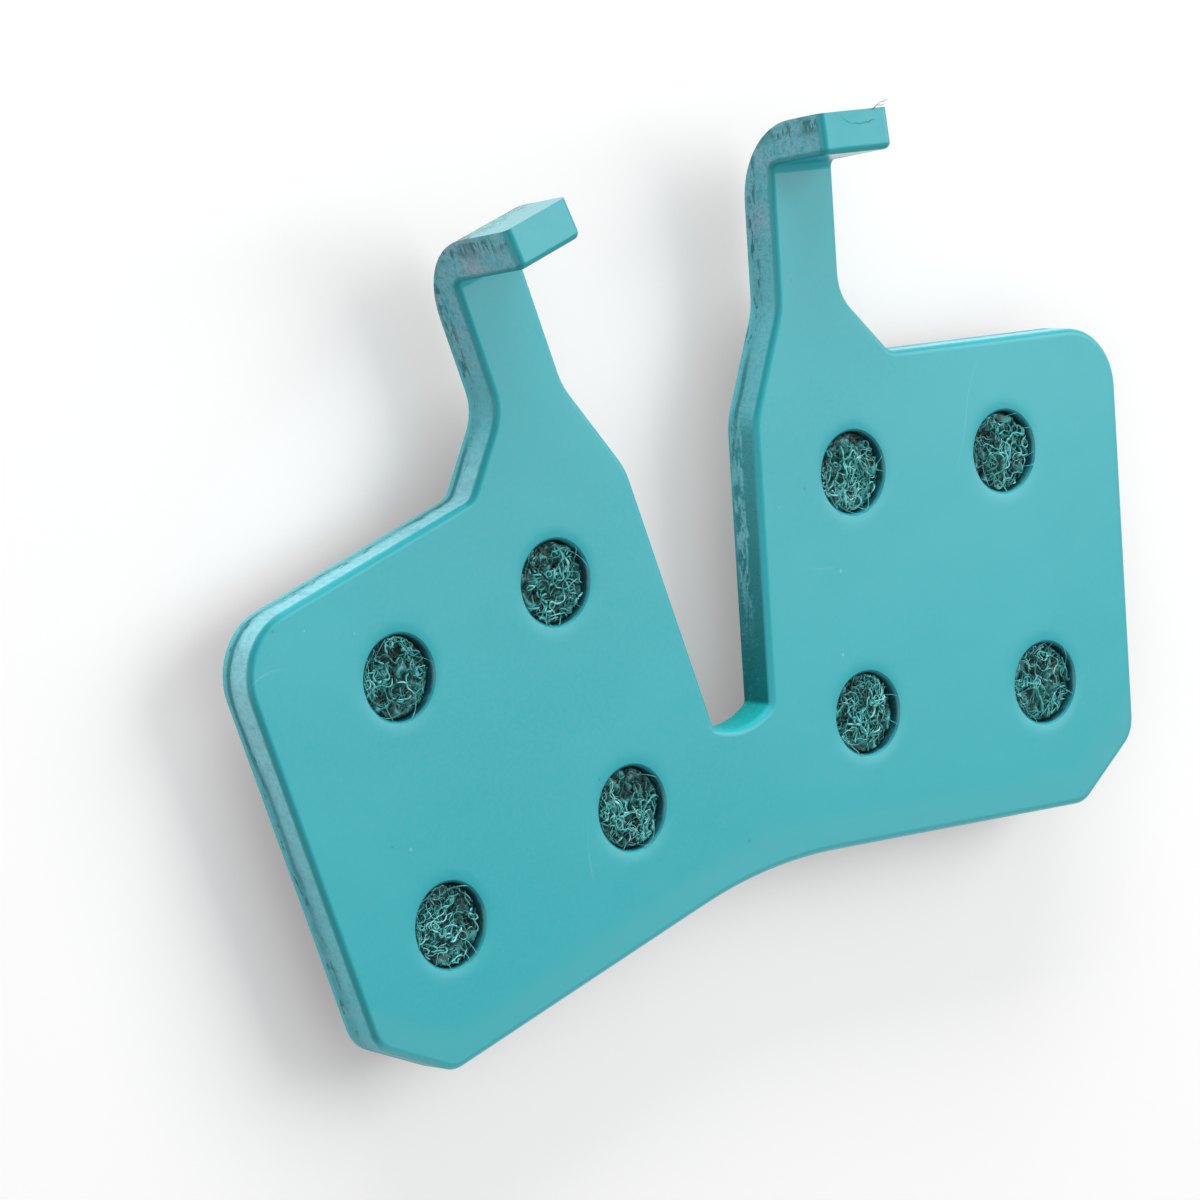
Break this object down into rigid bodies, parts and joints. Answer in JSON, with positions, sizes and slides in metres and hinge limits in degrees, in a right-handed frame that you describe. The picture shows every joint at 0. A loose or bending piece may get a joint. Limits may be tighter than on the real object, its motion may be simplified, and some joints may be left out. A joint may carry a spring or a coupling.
{
  "type": "bicycle disc brake pad",
  "caption": "Lobed bicycle disc brake pad: painted steel backing plate with a slot, bent ears and round holes, a dark bonding coat, and fibrous friction blocks keyed into the holes.",
  "frame": {"origin": "on the friction faces, under the middle of the pad's outline", "axes": "+X across the lobes, +Y along the slot towards the ears, +Z from the friction faces to the painted back"},
  "size_m": [0.0506, 0.0348, 0.0087],
  "materials": {
    "plate_paint": "satin blue-green paint over stamped steel",
    "bonding_coat": "dark leathery lacquer",
    "friction_material": "rough resin compound with fibres and mineral grains"
  },
  "bodies": {
    "root": {"backing_plate": "plate_paint", "bonding_coat": "bonding_coat", "friction_block_left": "friction_material", "friction_block_right": "friction_material"}
  },
  "joints": []
}
